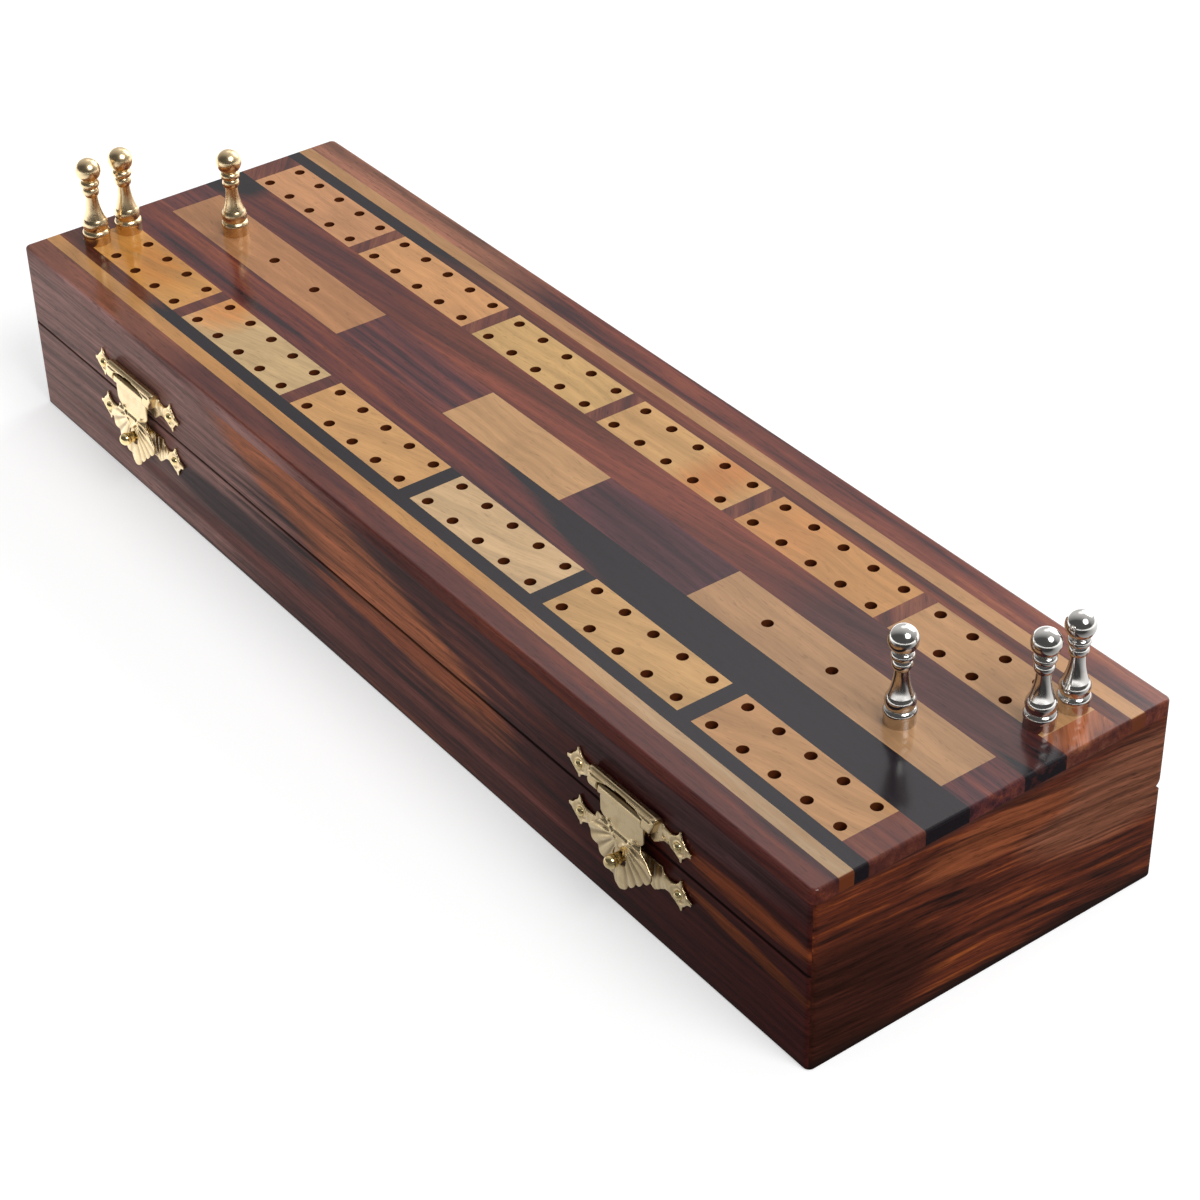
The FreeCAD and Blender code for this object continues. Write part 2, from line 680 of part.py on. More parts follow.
def clasp_nodes():
    nodes = {}
    for name, side in SIDES.items():
        clasp_x = side * clasp_out
        nodes["clasp_upper_plate_" + name] = upper_plate(clasp_x)
        nodes["clasp_lower_plate_" + name] = lower_plate(clasp_x)
        nodes["clasp_pin_" + name] = pin_rod(clasp_x)
        nodes["clasp_knob_" + name] = knob(clasp_x)
        nodes["clasp_flap_" + name] = flap(clasp_x)
    clasps_x = [side * clasp_out for side in SIDES.values()]
    for part, nail_line in (("base", lower_plate_height), ("lid", upper_plate_height)):
        nails = [clasp_nail(x, nail_line) for clasp_x in clasps_x for x in nail_xs(clasp_x)]
        nodes["clasp_nails_" + part] = Part.makeCompound(nails)
    return nodes


def peg_nodes():
    last_block, last_column = blocks_per_track - 1, holes_per_row - 1
    places = {"brass_peg_1": track_hole(7, front_cap_length, 0, 0, -1),
              "brass_peg_2": track_hole(7, front_cap_length, 0, 0, 1),
              "brass_peg_3": game_hole("left", 0),
              "nickel_peg_1": track_hole(3, back_cap_length, last_block, last_column, -1),
              "nickel_peg_2": track_hole(3, back_cap_length, last_block, last_column, 1),
              "nickel_peg_3": game_hole("right", 0)}
    return {name: peg(place) for name, place in places.items()}


def main():
    os.makedirs("parts", exist_ok=True)
    nodes = {}
    for group in (wall_nodes(), face_nodes(), hinge_nodes(), clasp_nodes(), peg_nodes()):
        nodes.update(group)
    for name, shape in nodes.items():
        shape.exportStep("parts/%s.step" % name)
        print(name, len(shape.Solids), "solids", "valid" if shape.isValid() else "NOT VALID",
              round(shape.Volume, 2))


main()
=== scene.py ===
import bpy
import math
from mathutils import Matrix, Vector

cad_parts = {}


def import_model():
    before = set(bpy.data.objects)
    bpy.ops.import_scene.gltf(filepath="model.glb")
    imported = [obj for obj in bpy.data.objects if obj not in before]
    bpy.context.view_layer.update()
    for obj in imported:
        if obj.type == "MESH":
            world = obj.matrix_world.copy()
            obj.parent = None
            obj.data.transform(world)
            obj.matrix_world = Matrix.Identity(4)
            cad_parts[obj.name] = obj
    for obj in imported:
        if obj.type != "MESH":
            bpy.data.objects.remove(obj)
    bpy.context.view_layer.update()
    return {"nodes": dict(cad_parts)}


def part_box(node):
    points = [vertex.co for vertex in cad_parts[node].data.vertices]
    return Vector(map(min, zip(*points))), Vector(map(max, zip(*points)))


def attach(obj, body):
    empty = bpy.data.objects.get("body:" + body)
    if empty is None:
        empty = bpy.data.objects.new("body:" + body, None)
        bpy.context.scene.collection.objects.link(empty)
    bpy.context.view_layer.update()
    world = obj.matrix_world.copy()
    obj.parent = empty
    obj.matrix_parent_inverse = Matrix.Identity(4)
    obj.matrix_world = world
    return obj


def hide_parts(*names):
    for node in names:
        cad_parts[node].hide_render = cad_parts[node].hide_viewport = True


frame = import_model()

# Hinged cribbage box. Sizes are in millimetres, turned into Blender's metres by MM; angles are in
# degrees; X runs along the box to the right, Y to its back and Z up.
MM = 0.001
RENDER_WHITE = 1.0                      # the level that shows as plain white
MIX_A, MIX_B, MIX_OUT = 6, 7, 2         # the colour sockets of a Mix node
LEVEL_A, LEVEL_B = 2, 3                 # and the sockets where it mixes plain numbers

foot_height = 0.0
seam_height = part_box("lid_front_wall")[0].z / MM
face_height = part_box("blank_panel")[1].z / MM
half_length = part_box("lid_right_end")[1].x / MM
half_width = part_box("lid_back_wall")[1].y / MM


def srgb(code):
    """A #rrggbb colour as linear RGBA."""
    channels = [int(code[i:i + 2], 16) / 255 for i in (1, 3, 5)]
    linear = [c / 12.92 if c <= 0.04045 else ((c + 0.055) / 1.055) ** 2.4 for c in channels]
    return (*linear, 1.0)


def add(tree, kind, inputs=None, stops=None, **settings):
    """Adds a node; a socket among its inputs is linked, any other value is set."""
    made = tree.nodes.new(kind)
    for name, value in settings.items():
        setattr(made, name, value)
    for name, value in (inputs or {}).items():
        if isinstance(value, bpy.types.NodeSocket):
            tree.links.new(value, made.inputs[name])
        else:
            made.inputs[name].default_value = value
    if stops:
        ramp = made.color_ramp
        while len(ramp.elements) < len(stops):
            ramp.elements.new(1.0)
        for element, (place, colour) in zip(ramp.elements, stops):
            element.position, element.color = place, colour
    return made


def new_material(name):
    """An empty material, and the tree for its nodes."""
    made = bpy.data.materials.new(name)
    made.use_nodes = True
    made.node_tree.nodes.clear()
    return made, made.node_tree


def finish_material(tree, shader):
    """Makes a shader the surface of its material."""
    add(tree, "ShaderNodeOutputMaterial", {"Surface": shader.outputs[0]})


# ---- the woods ----
# The lacquer is rubbed to a gloss on the playing face and is a thin satin coat on the sides. A film
# is how much of a mirror it makes.
face_film, face_roughness = 0.62, 0.16
side_film, side_roughness = 0.12, 0.24
lacquer_ior = 1.5
wood_roughness = 0.5
grain_relief, relief_strength = 0.1, 0.15       # how far the grain stands out under the lacquer

timber_step = (37.1, 11.3, 23.7)        # how far apart in the timber two seeds' boards are cut
rosewood_bend_run = 45.0
pale_bend, pale_bend_run = 5.0, 25.0
pale_streak = (2.4, 45.0)               # how wide and how long
noise_low, noise_high = 0.3, 0.7        # nearly all of a noise lies between these
edge_inner, edge_outer = 0.5, 0.1       # from outside, where the face's rounded edge lies

# Real hair lines in the grain are about 0.1 mm wide, and pores and flecks 0.15 mm. Both are too
# fine to show, so each is drawn as coarse as it needs to show: its width and its length.
rosewood_hair, pale_hair = (0.45, 16.0), (0.4, 9.0)
pore, fleck = (0.25, 3.0), (0.3, 2.6)
pore_noise, fleck_noise = (0.60, 0.70), (0.64, 0.72)    # where in the noise they start and are full
pore_tone, fleck_tone = 0.6, 0.8        # what is left of the wood's brightness in them
pale_streak_tone, pale_hair_tone = (0.8, 1.16), (0.92, 1.06)

shade_noise = (0.32, 0.46, 0.57, 0.70)  # where in a rosewood board's noise each shade comes up
patch_noise, patch_tone = (0.35, 0.65), (0.55, 1.4)     # a patch's own streaks, dark to light
patch_rim, patch_core = 0.05, 0.2       # where, between its rim and its middle, a patch grows full
stain_core, stain_strength = 0.5, 1.4   # the same for a stain on the pale wood
black_heart = "#1d171c"
black_ragged = 40.0                     # how far the streaks push the edge of the black to and fro
beyond_box = 200.0
end_grain_tone = 0.6

# Painted shade: the walls are darkened towards the groove of the seam, on the outside, and towards
# the foot as a painted contact shadow.
painted_shade_colour = "#140c0a"
shade_cover = 0.9                        # how much of the wood's colour it hides
shade_core = 0.3                         # the share of its reach over which it is thickest
skin_inner, skin_outer = 0.9, 0.6       # how far in from the outside the shade painted at the seam fades out

# The walls of the drilled holes are painted dark brown as shade in the holes.
hole_shade = "#5a2c16"
lip_inner, lip_outer = 0.12, 0.02       # under the face, where a hole's wall stops being painted in shade


def bent_grain(tree, seed, tilt, bend, bend_length):
    """Object coordinates, and the same moved to a part of the timber of their own, turned by tilt,
    and made to wander as real grain does, by bend to and fro over bend_length."""
    place = add(tree, "ShaderNodeTexCoord").outputs["Object"]
    laid = add(tree, "ShaderNodeMapping",
               {"Vector": place, "Location": [step * seed * MM for step in timber_step],
                "Rotation": [math.radians(turn) for turn in tilt]})
    wander = add(tree, "ShaderNodeTexNoise",
                 {"Vector": laid.outputs[0], "Scale": 1 / (bend_length * MM), "Detail": 2.0})
    bent = add(tree, "ShaderNodeVectorMath",
               {0: wander.outputs["Color"], 1: (bend * MM,) * 3, 2: laid.outputs[0]},
               operation="MULTIPLY_ADD")
    return place, bent.outputs[0]


def along_grain(tree, vector, grain, width, length, detail=3.0, roughness=0.5):
    """Noise drawn out along the grain's axis, its spots width across and length along."""
    scale = [1 / (width * MM)] * 3
    scale["XYZ".index(grain)] = 1 / (length * MM)
    drawn = add(tree, "ShaderNodeVectorMath", {0: vector, 1: scale}, operation="MULTIPLY")
    return add(tree, "ShaderNodeTexNoise",
               {"Vector": drawn.outputs[0], "Scale": 1.0, "Detail": detail,
                "Roughness": roughness}).outputs["Fac"]


def under_lacquer(tree, colour, height, film, film_roughness, place=None):
    """Wood with its grain just raised, under a clear film. With place given, only the playing face
    is rubbed to that film, and the sides below it have the film of the sides."""
    if place:
        level = add(tree, "ShaderNodeSeparateXYZ", {0: place}).outputs["Z"]
        film = add(tree, "ShaderNodeMapRange",
                   {"Value": level, "From Min": (face_height - edge_inner) * MM,
                    "From Max": (face_height - edge_outer) * MM,
                    "To Min": side_film, "To Max": film}).outputs[0]
    bump = add(tree, "ShaderNodeBump",
               {"Height": height, "Strength": relief_strength, "Distance": grain_relief * MM})
    skin = add(tree, "ShaderNodeBsdfPrincipled",
               {"Base Color": colour, "Roughness": wood_roughness, "Normal": bump.outputs[0],
                "Specular IOR Level": 0.0, "Coat Weight": film, "Coat Roughness": film_roughness,
                "Coat IOR": lacquer_ior})
    finish_material(tree, skin)


def painted_shade_near(tree, place, colour, level, reach, outside_only=False):
    """Painted shade along a level of the case: the wood darkens over the last millimetres towards
    it, as shade in the groove of the seam and as contact shadow at the foot. It can be kept to the
    outside of the front and back walls."""
    from_level = add(tree, "ShaderNodeVectorMath", {0: place, 1: (0, 0, level * MM)},
                     operation="SUBTRACT")
    distance = add(tree, "ShaderNodeVectorMath", {0: from_level.outputs[0]}, operation="ABSOLUTE")
    away = add(tree, "ShaderNodeSeparateXYZ", {0: distance.outputs[0]})
    mask = add(tree, "ShaderNodeMapRange",
               {"Value": away.outputs["Z"], "From Min": reach * shade_core * MM,
                "From Max": reach * MM, "To Min": shade_cover, "To Max": 0.0})
    if outside_only:
        outside = add(tree, "ShaderNodeMapRange",
                      {"Value": away.outputs["Y"], "From Min": (half_width - skin_inner) * MM,
                       "From Max": (half_width - skin_outer) * MM})
        mask = add(tree, "ShaderNodeMath", {0: mask.outputs[0], 1: outside.outputs[0]},
                   operation="MULTIPLY")
    return add(tree, "ShaderNodeMix", {0: mask.outputs[0], MIX_A: colour, MIX_B: srgb(painted_shade_colour)},
               data_type="RGBA").outputs[MIX_OUT]


def rosewood(name, shades, seed, grain="X", streak=3.0, run=120.0, bend=1.6, tilt=(0, 0, 0),
             lines=0.17, black=None, lean=0.0, patches=(), wall=None):
    """Indian rosewood, sawn and lacquered: dark heartwood in streaks, with hair lines and short
    open pores along them.

    shades run from the darkest streak to the lightest. A streak is about streak wide and run long,
    and lines is how strongly the hair lines show. black gives the X where a board starts to turn to
    near-black wood, the X where it has turned, and an X past which it is plain again, if there is
    one; lean is how many millimetres that edge moves for each in Y. A patch is a warmer or darker
    place: its centre, its radii, its shade, and a turn about Y if it has one. wall, for a wall of
    the case, gives its film and how far painted shade reaches from the seam and painted contact
    shadow from the foot."""
    made, tree = new_material(name)
    place, bent = bent_grain(tree, seed, tilt, bend, rosewood_bend_run)
    broad = along_grain(tree, bent, grain, streak, run, detail=5.0, roughness=0.6)
    colour = add(tree, "ShaderNodeValToRGB", {"Fac": broad},
                 stops=list(zip(shade_noise, map(srgb, shades)))).outputs[0]
    tone = add(tree, "ShaderNodeMapRange",
               {"Value": broad, "From Min": patch_noise[0], "From Max": patch_noise[1],
                "To Min": patch_tone[0], "To Max": patch_tone[1]}).outputs[0]
    for centre, radii, shade, *turn in patches:
        near = add(tree, "ShaderNodeMapping",
                   {"Vector": place, "Location": [c * MM for c in centre],
                    "Rotation": (0, math.radians(turn[0] if turn else 0), 0),
                    "Scale": [r * MM for r in radii]}, vector_type="TEXTURE")
        spot = add(tree, "ShaderNodeTexGradient", {"Vector": near.outputs[0]},
                   gradient_type="SPHERICAL")
        ragged = add(tree, "ShaderNodeMath", {0: spot.outputs["Fac"], 1: broad},
                     operation="MULTIPLY")
        mask = add(tree, "ShaderNodeMapRange",
                   {"Value": ragged.outputs[0], "From Min": patch_rim, "From Max": patch_core})
        streaked = add(tree, "ShaderNodeVectorMath", {0: srgb(shade)[:3], 1: tone},
                       operation="MULTIPLY")
        colour = add(tree, "ShaderNodeMix",
                     {0: mask.outputs[0], MIX_A: colour, MIX_B: streaked.outputs[0]},
                     data_type="RGBA").outputs[MIX_OUT]
    if black:
        start, turned, *plain_again = black
        middle = black_ragged / 2
        along = add(tree, "ShaderNodeSeparateXYZ", {0: place}).outputs["X"]
        leaning = add(tree, "ShaderNodeVectorMath", {0: place, 1: (1, lean, 0)},
                      operation="DOT_PRODUCT")
        ragged = add(tree, "ShaderNodeMath",
                     {0: broad, 1: black_ragged * MM, 2: leaning.outputs["Value"]},
                     operation="MULTIPLY_ADD")
        turning = add(tree, "ShaderNodeMapRange",
                      {"Value": ragged.outputs[0], "From Min": (start + middle) * MM,
                       "From Max": (turned + middle) * MM})
        before = add(tree, "ShaderNodeMath",
                     {0: along, 1: (plain_again[0] if plain_again else beyond_box) * MM},
                     operation="LESS_THAN")
        mask = add(tree, "ShaderNodeMath", {0: turning.outputs[0], 1: before.outputs[0]},
                   operation="MULTIPLY")
        colour = add(tree, "ShaderNodeMix",
                     {0: mask.outputs[0], MIX_A: colour, MIX_B: srgb(black_heart)},
                     data_type="RGBA").outputs[MIX_OUT]
    fine = add(tree, "ShaderNodeMapRange",
               {"Value": along_grain(tree, bent, grain, *rosewood_hair), "From Min": noise_low,
                "From Max": noise_high, "To Min": 1 - lines, "To Max": 1 + lines})
    pores = add(tree, "ShaderNodeMapRange",
                {"Value": along_grain(tree, bent, grain, *pore, detail=1.0),
                 "From Min": pore_noise[0], "From Max": pore_noise[1],
                 "To Min": 1.0, "To Max": pore_tone})
    both = add(tree, "ShaderNodeMath", {0: fine.outputs[0], 1: pores.outputs[0]},
               operation="MULTIPLY")
    if not wall:
        sides = add(tree, "ShaderNodeVectorMath", {0: place}, operation="ABSOLUTE")
        out = add(tree, "ShaderNodeSeparateXYZ", {0: sides.outputs[0]}).outputs["X"]
        end_grain = add(tree, "ShaderNodeMapRange",
                        {"Value": out, "From Min": (half_length - edge_inner) * MM,
                         "From Max": (half_length - edge_outer) * MM,
                         "To Min": 1.0, "To Max": end_grain_tone})
        both = add(tree, "ShaderNodeMath", {0: both.outputs[0], 1: end_grain.outputs[0]},
                   operation="MULTIPLY")
    wood = add(tree, "ShaderNodeVectorMath", {0: colour, 1: both.outputs[0]},
               operation="MULTIPLY").outputs[0]
    if wall:
        film, seam_reach, foot_reach = wall
        # painted contact shadow towards the foot, and painted shade in the groove of the seam
        wood = painted_shade_near(tree, place, wood, foot_height, foot_reach)
        if seam_reach:
            wood = painted_shade_near(tree, place, wood, seam_height, seam_reach, outside_only=True)
        under_lacquer(tree, wood, pores.outputs[0], film, side_roughness)
    else:
        under_lacquer(tree, wood, pores.outputs[0], face_film, face_roughness, place)
    return made


def pale_wood(name, boards, ends, seed, patches=(), tilt=(0, 0, 0), drilled=True):
    """Close-grained pale timber, lacquered: faint streaks and small brown flecks. Each block is
    cut from a board of its own shade, given from left to right between the two ends, and a patch is
    a stain: its centre, its radii and its shade. Under the playing face, where it is the wall of a
    drilled hole, it is painted dark brown as shade in the hole."""
    made, tree = new_material(name)
    place, bent = bent_grain(tree, seed, tilt, pale_bend, pale_bend_run)
    split = add(tree, "ShaderNodeSeparateXYZ", {0: place})
    along = add(tree, "ShaderNodeMapRange",
                {"Value": split.outputs["X"], "From Min": ends[0] * MM, "From Max": ends[1] * MM})
    shade = add(tree, "ShaderNodeValToRGB", {"Fac": along.outputs[0]},
                stops=[(n / len(boards), srgb(code)) for n, code in enumerate(boards)])
    shade.color_ramp.interpolation = "CONSTANT"
    colour = shade.outputs[0]
    streaks = along_grain(tree, bent, "X", *pale_streak, detail=4.0)
    for centre, radii, code in patches:
        near = add(tree, "ShaderNodeMapping",
                   {"Vector": place, "Location": [c * MM for c in centre],
                    "Scale": [r * MM for r in radii]}, vector_type="TEXTURE")
        spot = add(tree, "ShaderNodeTexGradient", {"Vector": near.outputs[0]},
                   gradient_type="SPHERICAL")
        ragged = add(tree, "ShaderNodeMath", {0: spot.outputs["Fac"], 1: streaks},
                     operation="MULTIPLY")
        mask = add(tree, "ShaderNodeMapRange",
                   {"Value": ragged.outputs[0], "From Max": stain_core,
                    "To Max": stain_strength})
        colour = add(tree, "ShaderNodeMix",
                     {0: mask.outputs[0], MIX_A: colour, MIX_B: srgb(code)},
                     data_type="RGBA").outputs[MIX_OUT]
    tone = add(tree, "ShaderNodeMapRange",
               {"Value": streaks, "From Min": noise_low, "From Max": noise_high,
                "To Min": pale_streak_tone[0], "To Max": pale_streak_tone[1]})
    hair = along_grain(tree, bent, "X", *pale_hair, detail=2.0)
    fine = add(tree, "ShaderNodeMapRange",
               {"Value": hair, "From Min": noise_low, "From Max": noise_high,
                "To Min": pale_hair_tone[0], "To Max": pale_hair_tone[1]})
    both = add(tree, "ShaderNodeMath", {0: fine.outputs[0], 1: tone.outputs[0]},
               operation="MULTIPLY")
    flecks = add(tree, "ShaderNodeMapRange",
                 {"Value": along_grain(tree, bent, "X", *fleck, detail=1.0),
                  "From Min": fleck_noise[0], "From Max": fleck_noise[1],
                  "To Min": 1.0, "To Max": fleck_tone})
    all_three = add(tree, "ShaderNodeMath", {0: both.outputs[0], 1: flecks.outputs[0]},
                    operation="MULTIPLY")
    wood = add(tree, "ShaderNodeVectorMath", {0: colour, 1: all_three.outputs[0]},
               operation="MULTIPLY").outputs[0]
    if drilled:
        deep = add(tree, "ShaderNodeMapRange",
                   {"Value": split.outputs["Z"], "From Min": (face_height - lip_inner) * MM,
                    "From Max": (face_height - lip_outer) * MM})
        wood = add(tree, "ShaderNodeMix",
                   {0: deep.outputs[0], MIX_A: srgb(hole_shade), MIX_B: wood},
                   data_type="RGBA").outputs[MIX_OUT]
        under_lacquer(tree, wood, hair, face_film, face_roughness, place)
    else:
        under_lacquer(tree, wood, hair, side_film, side_roughness)
    return made


# ---- the metals ----
cloud_size = 2.4                        # the patches that handling and polishing leave
stain_noise = (0.5, 0.75)               # where in their noise a stain starts and is full
rubbed, dulled = 0.8, 1.25              # a metal's roughness where it is rubbed and where it isn't


def metal(name, colour, stain, roughness, uneven=0.35, patina_and_shade_tone=None):
    """A bare or lacquered metal; handling and polishing leave it a little uneven in tone and
    gloss. The last argument is the tone of what polishing doesn't reach, also painted as shade
    where another part shades the metal."""
    made, tree = new_material(name)
    place = add(tree, "ShaderNodeTexCoord")
    cloud = add(tree, "ShaderNodeTexNoise",
                {"Vector": place.outputs["Object"], "Scale": 1 / (cloud_size * MM), "Detail": 4.0})
    patch = add(tree, "ShaderNodeMapRange",
                {"Value": cloud.outputs["Fac"], "From Min": stain_noise[0],
                 "From Max": stain_noise[1], "To Max": uneven})
    tone = add(tree, "ShaderNodeMix",
               {0: patch.outputs[0], MIX_A: srgb(colour), MIX_B: srgb(stain)}, data_type="RGBA")
    if patina_and_shade_tone:
        low = add(tree, "ShaderNodeAttribute", attribute_name="patina_and_shade")
        tone = add(tree, "ShaderNodeMix",
                   {0: low.outputs["Fac"], MIX_A: tone.outputs[MIX_OUT], MIX_B: srgb(patina_and_shade_tone)},
                   data_type="RGBA")
    gloss = add(tree, "ShaderNodeMapRange",
                {"Value": cloud.outputs["Fac"], "From Min": noise_low, "From Max": noise_high,
                 "To Min": roughness * rubbed, "To Max": roughness * dulled})
    skin = add(tree, "ShaderNodeBsdfPrincipled",
               {"Base Color": tone.outputs[MIX_OUT], "Metallic": 1.0,
                "Roughness": gloss.outputs[0]})
    finish_material(tree, skin)
    return made


finishes = {
    # Front and back of the case: brown heartwood with one rust-coloured flame across the front;
    # satin, so that the flame stays deep and only a faint grey light lies over it. The pale mauve
    # patch at the left of the front is partly lighter wood and partly a painted reflection; the
    # dark patch at its right is partly darker wood and partly painted shade. Both walls are painted
    # darker towards the seam, as shade in its groove, and towards the foot, as contact shadow.
    "case_long": rosewood(
        "rosewood_long_walls", ["#2a1614", "#482624", "#5c302a", "#7a4533"], 1,
        streak=1.6, run=70, bend=3, lines=0.24, wall=(0.2, 0.45, 0.9),
        patches=[((-115, -38, 22), (110, 12, 40), "#8c665f"),
                 ((-45, -38, 13), (40, 12, 5), "#3d2a2b"),
                 ((120, -38, 14), (85, 12, 40), "#3a1512"),
                 ((80, -38, 33), (60, 12, 6), "#44292a"),
                 ((-4, -38, 26.5), (64, 12, 9.5), "#9a5838", 12),
                 ((14, -38, 18), (42, 9, 2.5), "#8c4a2e"),
                 ((-20, -38, 7), (110, 12, 3), "#6a3a33"),
                 ((112, -38, 24.5), (22, 9, 3), "#74371b"),
                 ((112, -38, 16), (22, 9, 2), "#653015", 6)]),
    # Ends of the case: the same timber cut nearly across, so its dark lines are short, close and
    # slanting. The first two patches, darker at the front and low down and lighter at the back, are
    # a painted reflection that lies more on the back than the front; the ends are painted darker
    # towards the foot as contact shadow.
    "case_end": rosewood(
        "rosewood_end_walls", ["#1e0f0c", "#441f14", "#5c2a18", "#86451f"], 2, grain="Y",
        streak=1.3, run=30, bend=3, tilt=(7, 0, 0), lines=0.3, wall=(0.12, 0.0, 3.4),
        patches=[((127, -34, 12), (12, 30, 16), "#32160e"),
                 ((127, 30, 24), (12, 30, 12), "#6a402e"),
                 ((127, 0, 29), (12, 22, 6), "#6e3a22"),
                 ((127, 0, 37), (12, 60, 3.5), "#43241c")]),
    # The face's outer strips: plum-brown wood, polished; the back one fades lighter towards its
    # left end, and the side of the front one is paler at the left like the wall under it, partly
    # lighter wood and partly a painted reflection.
    "outer_back": rosewood(
        "rosewood_outer_back", ["#3c1e20", "#6a342b", "#7d4131", "#99583a"], 3, run=60,
        patches=[((-105, 34, 38), (80, 12, 6), "#8a5843")]),
    "outer_front": rosewood(
        "rosewood_outer_front", ["#321a1d", "#532925", "#5f2f27", "#783d2b"], 4, run=50,
        patches=[((-110, -34, 38), (55, 12, 6), "#704030"),
                 ((-120, -39.5, 36), (190, 2.4, 5), "#96706b")]),
    # The strips beside the middle: warm red-brown; the back one has near-black wood at both tips,
    # and the front one turns black for its whole right half, along a slanting edge.
    "inner_back": rosewood(
        "rosewood_inner_back", ["#452224", "#5b2b26", "#683328", "#7c402b"], 5, streak=2.4,
        run=80, tilt=(0, 0, -4), black=(120, 127),
        patches=[((-127, 12, 38), (16, 10, 6), "#1c1518"),
                 ((96, 10, 38), (40, 12, 6), "#4c2a28"),
                 ((5, 12, 38), (80, 10, 6), "#6f3729")]),
    "inner_front": rosewood(
        "rosewood_inner_front", ["#301a20", "#582927", "#6a332a", "#84442c"], 6, streak=2.2,
        run=70, black=(-34, -24), lean=4.5),
    # The slips between the track's blocks, with their grain askew to the strips so that each reads
    # as a piece of its own; the front row's are of the black wood from the middle on.
    "spacers_back": rosewood(
        "rosewood_spacers_back", ["#4a2722", "#633229", "#734131", "#8a5639"], 7, run=40,
        tilt=(0, 0, 40), patches=[((120.5, 19, 38), (8, 14, 3), "#96583a")]),
    "spacers_front": rosewood(
        "rosewood_spacers_front", ["#4a2722", "#5b2e28", "#65342a", "#70402f"], 8, run=40,
        black=(-22, -10, 110)),
    # The fillers of the middle row: purplish wood with narrow streaks, darker at the right.
    "fillers": rosewood(
        "rosewood_fillers", ["#2b1b24", "#532b2d", "#693632", "#824633"], 9, streak=1.8, run=50,
        patches=[((64, 0, 38), (66, 12, 6), "#46262c")]),
    # The dark lines beside the pale strings: brown on one part of their length and black on the
    # other.
    "dark_back": rosewood(
        "dark_line_back", ["#3a1f1d", "#5c2d22", "#713828", "#7e4630"], 10, run=90,
        black=(-38, -70)),
    "dark_front": rosewood(
        "dark_line_front", ["#3c1d18", "#5a2c1f", "#6e3823", "#85492a"], 11, run=60,
        black=(-92, -84)),
    # The strings: straw-coloured lines that edge the face on both long sides, duller at the right.
    "string": pale_wood(
        "haldu_strings", ["#b5824c", "#b5844e"], (-127, 127), 1,
        patches=[((125, 0, 38), (110, 70, 6), "#a28a6e"),
                 ((0, 34, 38), (420, 14, 6), "#b08359")]),
    # The track's blocks, each of a shade of its own from honey to greyish cream, some with an
    # orange stain.
    "blocks_back": pale_wood(
        "maple_blocks_back",
        ["#c28b60", "#c8915f", "#c39b64", "#c09460", "#b78451", "#b0845a"], (-122.9, 123.1), 2,
        patches=[((31, 20, 38), (9, 14, 6), "#b97c48"),
                 ((52, 18, 38), (12, 12, 6), "#c08550")]),
    "blocks_front": pale_wood(
        "maple_blocks_front",
        ["#c6904f", "#bfa073", "#c1915c", "#c3a279", "#ba915f", "#ac8056"], (-123.5, 122.5), 3,
        tilt=(0, 0, -14),
        patches=[((-78, -19, 38), (11, 10, 6), "#c98a50"),
                 ((-104, -21, 38), (18, 9, 6), "#bd7d38")]),
    # The three panels of the middle: plainer boards, browner than the blocks.
    "panels": pale_wood("maple_panels", ["#ab7850", "#b98e62", "#a9815c"], (-120.3, 120.3), 4),
    # The bottom and the core: satin light plywood that makes the inside look bright beside the
    # walls.
    "inside": pale_wood("plywood_panels", ["#b08a60", "#b08a60"], (-127, 127), 5, drilled=False),
    # Hinges: thin rolled brass, yellow and a little dull.
    "hinge_brass": metal("rolled_brass_hinges", "#c9a254", "#8d6a30", 0.28),
    # Clasps: stamped brass with a champagne wash that stays brown in the hollows, so the pattern
    # reads; the same brown is painted as shade on the flap's roll under the hood.
    "clasp_brass": metal("antique_brass_clasps", "#e6cea2", "#b39767", 0.27, patina_and_shade_tone="#5e4526"),
    # Knobs and clasp nails: brighter brass that fingers keep polished, with sharp highlights.
    "stud_brass": metal("bright_brass_studs", "#ecd49c", "#b8965a", 0.16, uneven=0.25),
    # One player's pegs: pale turned brass that mirrors the wood round it.
    "peg_brass": metal("turned_brass_pegs", "#dcc49c", "#b3966a", 0.26, uneven=0.25),
    # The other player's pegs: nickel plate, nearly a mirror, so it is white and black at once.
    "peg_nickel": metal("nickel_plated_pegs", "#cfccc8", "#a8a39c", 0.12, uneven=0.25),
}
